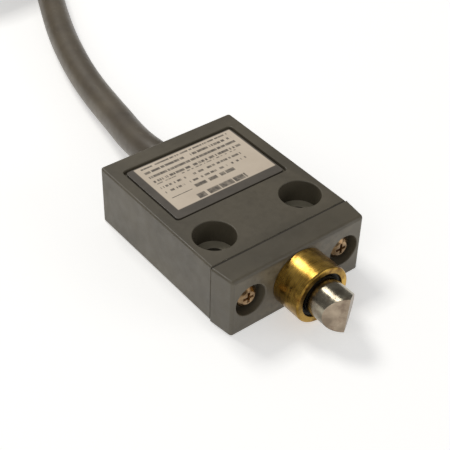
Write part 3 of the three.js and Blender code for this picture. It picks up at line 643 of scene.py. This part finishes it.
def gasket():
    """Thin seal between the castings, a little inside their outline."""
    w = BODY_HALF - GASKET_INSET
    outline = [(-w, GASKET_Y0), (w, GASKET_Y0), (w, GASKET_Y1), (-w, GASKET_Y1)]
    edge = [GASKET_EDGE] * 4
    base = soft_block(
        "cap_gasket_fine", outline, GASKET_INSET, BODY_T - GASKET_INSET,
        upright=edge, top=edge, bottom=edge, segments=2,
    )
    cutters = [rod_y([(CIRCLIP_R, PAST_GASKET_Y), (CIRCLIP_R, PAST_REAR_Y)])]
    cutters += [
        rod_y([(SCREW_HOLE_R, PAST_GASKET_Y), (SCREW_HOLE_R, PAST_REAR_Y)], x, SCREW_Z, 40)
        for x in (-SCREW_X, SCREW_X)
    ]
    return boolean("cap_gasket_fine", base, cutters)


GASKET = soft_plastic("gasket_sheet", (50, 46, 40), (64, 59, 51), (0.7, 0.85), 1800, 0.00002)
body = piece("housing_fine", housing(), MATERIALS["casting"], "case", "casting", "housing")
body.data.materials.append(COUNTERBORE_FLOOR_PAINTED_LIGHT)
SPOT_LEVEL, SPOT_MARGIN = CBORE_FLOOR + 0.02, 0.06
for polygon in body.data.polygons:      # the counterbores' floors are paler: painted light where they lie in shade, on a guessed bare spot-faced finish
    level = abs(polygon.center.z - SPOT_LEVEL * MM) < SPOT_MARGIN * MM
    if level and polygon.normal.z > 0.9 and abs(polygon.center.y) < CBORE_R * MM:
        polygon.material_index = 1
piece("cap_gasket_fine", gasket(), GASKET, "case", "rubber", "cap_gasket")
piece("front_cap_fine", front_cap(), MATERIALS["casting"], "case", "casting", "front_cap")
for side, x in (("left", -SCREW_X), ("right", SCREW_X)):
    name = f"cap_screw_{side}_fine"
    piece(name, cap_screw(name, x), ZINC, "case", "steel", f"cap_screw_{side}")

plate_outline = rounded([
    (-PLATE_HALF, PLATE_Y0), (PLATE_HALF, PLATE_Y0), (PLATE_HALF, PLATE_Y1), (-PLATE_HALF, PLATE_Y1),
], 1.0, 6)
plate_edges = len(plate_outline)
plate = soft_block(
    "name_plate_fine", plate_outline, PLATE_Z0, PLATE_Z1,
    upright=[0.0] * plate_edges, top=[0.09] * plate_edges, bottom=[0.05] * plate_edges, segments=2,
)
piece("name_plate_fine", plate, MATERIALS["plate"], "case", "plate", "name_plate")

# ------------------------------------------------------------------ bush, wiper and plunger
bush = lathe("guide_bush_fine", [
    (5.7, -22.8, 0.16), (7.33, -22.8, 0.5), (7.33, -14.8, 0.08), (5.95, -14.8, 0.05), (5.95, -9.75, 0.05),
    (5.4, -9.75, 0), (5.4, -9.15, 0), (5.95, -9.15, 0.05), (5.95, -8.5, 0.15), (4.85, -8.5, 0.15),
    (4.85, -20.9, 0.1), (5.7, -20.9, 0.05),
], 144, steps=6)
piece("guide_bush_fine", bush, MATERIALS["brass"], "case", "brass", "guide_bush")

wiper = lathe("wiper_seal_fine", [
    (4.8, -21.7, 0.1), (5.05, -22.0, 0.15), (5.65, -22.3, 0.2), (5.65, -20.95, 0.1), (4.8, -20.95, 0.1),
], 128)
piece("wiper_seal_fine", wiper, MATERIALS["rubber"], "case", "rubber", "wiper_seal")

RIDGE_Y, PIN_R = -30.8, 4.75
BEVEL_DEG, TIP_ROLL_DEG = 57, 5   # each bevel to the axis, and the ridge's turn about it
GROOVE_R, GROOVE_Y0, GROOVE_Y1 = 3.5, -17.6, -16.1
COLLAR_R, COLLAR_Y0, COLLAR_Y1 = 5.9, -8.45, -7.2
SOCKET_R, SOCKET_Y = 3.2, -12.4
RING_R, RING_Y, RING_WIRE_R, RING_STEPS = 4.17, -16.85, 0.6, 16
BEVELS_BEFORE_Y, BEVEL_AREA = -0.0265, 1e-7     # metres: what counts as one of the two bevels


def chisel_cutter():
    """Everything in front of the two bevels of the chisel point."""
    wide = 8.0
    back = wide / math.tan(math.radians(BEVEL_DEG))
    outline = [
        (-wide, RIDGE_Y + back), (-wide, RIDGE_Y - 2), (wide, RIDGE_Y - 2), (wide, RIDGE_Y + back),
        (0, RIDGE_Y),
    ]
    bm = bmesh.new()
    low = [bm.verts.new(mm(x, y, -wide)) for x, y in outline]
    high = [bm.verts.new(mm(x, y, wide)) for x, y in outline]
    bridge(bm, [low, high])
    turn = Matrix.Translation(mm(0, 0, AXIS_Z)) @ Matrix.Rotation(math.radians(TIP_ROLL_DEG), 4, "Y")
    bm.transform(turn)
    return as_mesh("cutter", bm)


def plunger():
    turned = lathe("plunger_fine", [
        (0, RIDGE_Y - 0.5, 0), (PIN_R, RIDGE_Y - 0.5, 0),
        (PIN_R, GROOVE_Y0, 0.1), (GROOVE_R, GROOVE_Y0, 0.12), (GROOVE_R, GROOVE_Y1, 0.12),
        (PIN_R, GROOVE_Y1, 0.1), (PIN_R, COLLAR_Y0, 0.05), (COLLAR_R, COLLAR_Y0, 0.12),
        (COLLAR_R, COLLAR_Y1, 0.12), (SOCKET_R, COLLAR_Y1, 0.15), (SOCKET_R, SOCKET_Y, 0.2), (0, SOCKET_Y, 0),
    ], 128, steps=3)
    cut = boolean("plunger_fine", turned, [chisel_cutter()])
    return modified("plunger_fine", cut, [("BEVEL", {
        "width": 0.1 * MM, "segments": 3, "limit_method": "ANGLE", "angle_limit": math.radians(45),
    })])


pin = piece("plunger_fine", plunger(), MATERIALS["steel"], "plunger", "steel", "plunger")
pin.data.materials.append(CHISEL_STEEL)
for polygon in pin.data.polygons:
    flat = polygon.normal.y < -0.5 and polygon.center.y < BEVELS_BEFORE_Y
    polygon.material_index = 1 if flat and polygon.area > BEVEL_AREA else 0

ring_angles = [2 * math.pi * k / RING_STEPS for k in range(RING_STEPS)]
ring = lathe("plunger_seal_ring_fine", [
    (RING_R + RING_WIRE_R * math.cos(a), RING_Y + RING_WIRE_R * math.sin(a), 0) for a in ring_angles
], 72)
piece("plunger_seal_ring_fine", ring, MATERIALS["rubber"], "plunger", "rubber", "plunger_seal_ring")

# The return spring sits between the plunger and its seat, the inner one between the
# plunger's bore and the actuator.
outer = piece(
    "return_spring_fine",
    helix("return_spring_fine", mean_r=5.2, wire_r=0.4, turns=6, y0=-6.75, y1=4.5),
    MATERIALS["steel"], "case", "steel", "return_spring",
)
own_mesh(outer)
inner = piece(
    "overtravel_spring_fine",
    helix("overtravel_spring_fine", mean_r=2.5, wire_r=0.3, turns=6, y0=-12.05, y1=-4.85, sides=8),
    MATERIALS["steel"], "plunger", "steel", "overtravel_spring",
)
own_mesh(inner)

# ------------------------------------------------------------------ rear end
RESIN_HALF, RESIN_Y0, RESIN_Y1, RESIN_Z0, RESIN_Z1 = 13.4, 30.5, 35.4, 2.6, 13.5
CABLE_HOLE_R = 5.2
resin = boolean("potting_block_fine", soft_block(
    "potting_block_fine",
    [(-RESIN_HALF, RESIN_Y0), (RESIN_HALF, RESIN_Y0), (RESIN_HALF, RESIN_Y1), (-RESIN_HALF, RESIN_Y1)],
    RESIN_Z0, RESIN_Z1,
    upright=(0.15, 0.15, 0.5, 0.5), top=(0.15, 0.15, 0.5, 0.15), bottom=(0.15, 0.15, 0.5, 0.15),
), [rod_y([(CABLE_HOLE_R, RESIN_Y0 - 1), (CABLE_HOLE_R, RESIN_Y1 + 1)])])
piece("potting_block_fine", resin, MATERIALS["resin"], "case", "resin", "potting_block")

grommet = lathe("cable_grommet_fine", [
    (4.25, 30.6, 0.1), (5.1, 30.6, 0.2), (5.1, 35.9, 0), (6.0, 35.9, 0.15), (5.9, 36.5, 0.25),
    (5.2, 37.6, 0.3), (4.85, 38.3, 0.15), (4.25, 38.3, 0.1),
], 96)
piece("cable_grommet_fine", grommet, MATERIALS["rubber"], "case", "rubber", "cable_grommet")

# ------------------------------------------------------------------ cable
CABLE_D = 8.3
LEAD_ROUTE = [
    (0, 28.6, 8.05), (0, 32, 8.05), (0, 36, 8.05), (0, 40.5, 7.9), (0.2, 46.2, 7.25),
    (1.3, 54, 6.2), (3.0, 62, 5.3), (4.7, 71, 4.6), (6.5, 80.8, 4.25), (8.8, 91, 4.2),
    (11.8, 101.5, 4.2), (15.3, 112, 4.2), (19.2, 122, 4.2), (23.1, 131.2, 4.2), (27, 140.4, 4.2),
    (30.9, 149.6, 4.25), (34.8, 158.8, 4.4), (38.7, 168, 4.7), (41.4, 174.4, 4.95), (44, 180.4, 5.1),
]
COIL_X, COIL_Y, COIL_Z, COIL_R = 5.6, 196.7, 5.1, 41.75
COIL_START_DEG, COIL_WOUND_DEG = -23, 1110
STEP_UP = (240, 350)              # degrees of each turn over which it climbs one diameter
TURN_STEP = 12
SOLID_TURNS = 3


def eased(value, low, high):
    t = min(max((value - low) / (high - low), 0.0), 1.0)
    return t * t * (3 - 2 * t)


def on_coil(degrees, r, z):
    a = math.radians(degrees)
    return (COIL_X + r * math.cos(a), COIL_Y + r * math.sin(a), z)


def cable_points():
    points = list(LEAD_ROUTE)
    count = round(COIL_WOUND_DEG / TURN_STEP)
    for i in range(1, count + 1):
        wound = COIL_WOUND_DEG * i / count
        turns = SOLID_TURNS
        if wound < 360 * SOLID_TURNS:
            turns = wound // 360 + eased(wound % 360, *STEP_UP)
        points.append(on_coil(COIL_START_DEG + wound, COIL_R, COIL_Z + CABLE_D * turns))
    return points


def smooth_curve(name, points, radius, material, body, slot_name, *nodes, resolution=10, ends=True):
    data = bpy.data.curves.new(name, "CURVE")
    data.dimensions = "3D"
    data.resolution_u = resolution
    data.bevel_depth = radius * MM
    data.bevel_resolution = 10
    data.use_fill_caps = ends
    spline = data.splines.new("BEZIER")
    spline.bezier_points.add(len(points) - 1)
    for point, place in zip(spline.bezier_points, points):
        point.co = mm(*place)
        point.handle_left_type = point.handle_right_type = "AUTO"
    data.materials.append(material)
    obj = add_object(name, data)
    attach(obj, body)
    if nodes:
        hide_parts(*nodes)
    return obj


cable = smooth_curve(
    "cable", cable_points(), CABLE_D / 2, MATERIALS["cable_jacket"], "case", "cable_jacket",
    "cable_lead", "cable_coil", "cable_tail",
)


# ------------------------------------------------------------------ coil straps and stripped end
def strap(name, degrees):
    """Closed band round the stacked turns, its outer edges broken."""
    gap, thick, half_w, break_w, arc_steps = 0.15, 0.6, 1.8, 0.2, 16
    top_z = COIL_Z + CABLE_D * (SOLID_TURNS - 1)

    def loop(radius):
        points = []
        for centre_z, start in ((COIL_Z, 180), (top_z, 0)):
            for k in range(arc_steps + 1):
                a = math.radians(start + 180 * k / arc_steps)
                points.append((COIL_R + radius * math.cos(a), centre_z + radius * math.sin(a)))
        return points

    bm = bmesh.new()
    section = [
        (gap, half_w), (gap, -half_w), (gap + thick * 0.7, -half_w), (gap + thick, -half_w + break_w),
        (gap + thick, half_w - break_w), (gap + thick * 0.7, half_w),
    ]
    columns = []
    for grow, side in section:
        columns.append([
            bm.verts.new(Vector((r, side, z)) * MM) for r, z in loop(CABLE_D / 2 + grow)
        ])
    for c in range(len(columns)):
        here, there = columns[c], columns[(c + 1) % len(columns)]
        for i in range(len(here)):
            j = (i + 1) % len(here)
            bm.faces.new([here[i], here[j], there[j], there[i]])
    bm.transform(Matrix.Translation(mm(COIL_X, COIL_Y, 0)) @ Matrix.Rotation(math.radians(degrees), 4, "Z"))
    return as_mesh(name, bm)


CORE_FINISH = {"common": "core_brown", "nc": "core_black", "no": "core_blue", "earth": "core_green"}
FAN = [                           # name, side, level, spread and resting height, in mm
    ("common", -1, 1, 0.25, 26.9), ("nc", 1, 1, -0.25, 26.9),
    ("no", -1, -1, -2.0, 26.1), ("earth", 1, -1, 2.0, 26.1),
]
FAN_OFFSET, FAN_DEG, FAN_LONG, TIP_LONG = 1.3, 7.35, 34.0, 8.0    # mm, then degrees of the coil
SPREAD_OVER, SINK_OVER = (0.03, 0.6), (0.1, 0.8)                  # shares of a core's length
CORE_SHARES = (0, 0.12, 0.3, 0.5, 0.7, 0.85, 1)
CORE_R, TIP_R = 0.95, 0.5
straps = [
    piece(f"coil_tie_{where}_fine", strap(f"coil_tie_{where}_fine", degrees), MATERIALS["tie"],
          "case", "tie", f"coil_tie_{where}")
    for where, degrees in (("near", 85), ("far", 225))
]


def stripped_cores():
    made = []
    top_z = COIL_Z + CABLE_D * SOLID_TURNS
    for name, side, level, spread, rest_z in FAN:
        def at(share, extra=0.0):
            r = COIL_R + side * FAN_OFFSET + spread * eased(share, *SPREAD_OVER)
            z = top_z + level * FAN_OFFSET
            height = z + (rest_z - z) * eased(share, *SINK_OVER)
            return on_coil(FAN_DEG + FAN_LONG * share + extra, r, height)

        finish = CORE_FINISH[name]
        core = [at(share) for share in CORE_SHARES]
        made.append(smooth_curve(
            f"core_{name}_fine", core, CORE_R, MATERIALS[finish],
            "case", finish, f"core_{name}", resolution=6,
        ))
        tip = [at(1, 0.15), at(1, TIP_LONG / 2), at(1, TIP_LONG)]
        made.append(smooth_curve(
            f"tip_{name}_fine", tip, TIP_R, MATERIALS["silver"],
            "case", "silver", f"tip_{name}", resolution=6,
        ))
    return made


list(stripped_cores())


# ------------------------------------------------------------------ light and floor
FLOOR_HALF, FLOOR_DROP, FLOOR_GLOW = 8.0, 0.0001, 0.42
SKY_STRENGTH = 0.24


def area_light(name, place, target, size, power, colour=(1, 1, 1)):
    data = bpy.data.lights.new(name, "AREA")
    data.shape = "RECTANGLE"
    data.size, data.size_y = size
    data.energy = power
    data.color = colour
    obj = add_object(name, data)
    obj.location = place
    obj.rotation_mode = "QUATERNION"
    obj.rotation_quaternion = (Vector(target) - Vector(place)).to_track_quat("-Z", "Y")


def studio():
    world = bpy.data.worlds.new("studio")
    bpy.context.scene.world = world
    world.use_nodes = True
    world.node_tree.nodes["Background"].inputs["Color"].default_value = (1.0, 0.99, 0.97, 1)
    world.node_tree.nodes["Background"].inputs["Strength"].default_value = SKY_STRENGTH
    area_light("key", (-0.03, 0.50, 0.70), (0, 0.01, 0.01), (0.30, 0.20), 2.6, (1, 0.98, 0.94))
    area_light("fill", (-0.65, -0.35, 0.55), (0, 0, 0.01), (0.6, 0.6), 1.35, (1, 0.99, 0.97))
    area_light("front", (0.5, -0.7, 0.35), (0, 0, 0.01), (0.5, 0.4), 1.1, (0.97, 0.98, 1))

    bm = bmesh.new()
    bmesh.ops.create_grid(bm, x_segments=1, y_segments=1, size=FLOOR_HALF)
    mesh = bpy.data.meshes.new("floor")
    bm.to_mesh(mesh)
    bm.free()
    floor = add_object("floor", mesh)
    floor.location = (0, 0, -FLOOR_DROP)
    n = Nodes("floor", Roughness=0.9)
    n.shader.inputs["Base Color"].default_value = (0.93, 0.93, 0.925, 1)
    n.shader.inputs["Specular IOR Level"].default_value = 0.1
    n.shader.inputs["Emission Color"].default_value = (1, 1, 1, 1)
    n.shader.inputs["Emission Strength"].default_value = FLOOR_GLOW
    mesh.materials.append(n.mat)
    scene = bpy.context.scene
    scene.view_settings.view_transform = "Standard"
    scene.view_settings.exposure = 0.0


studio()
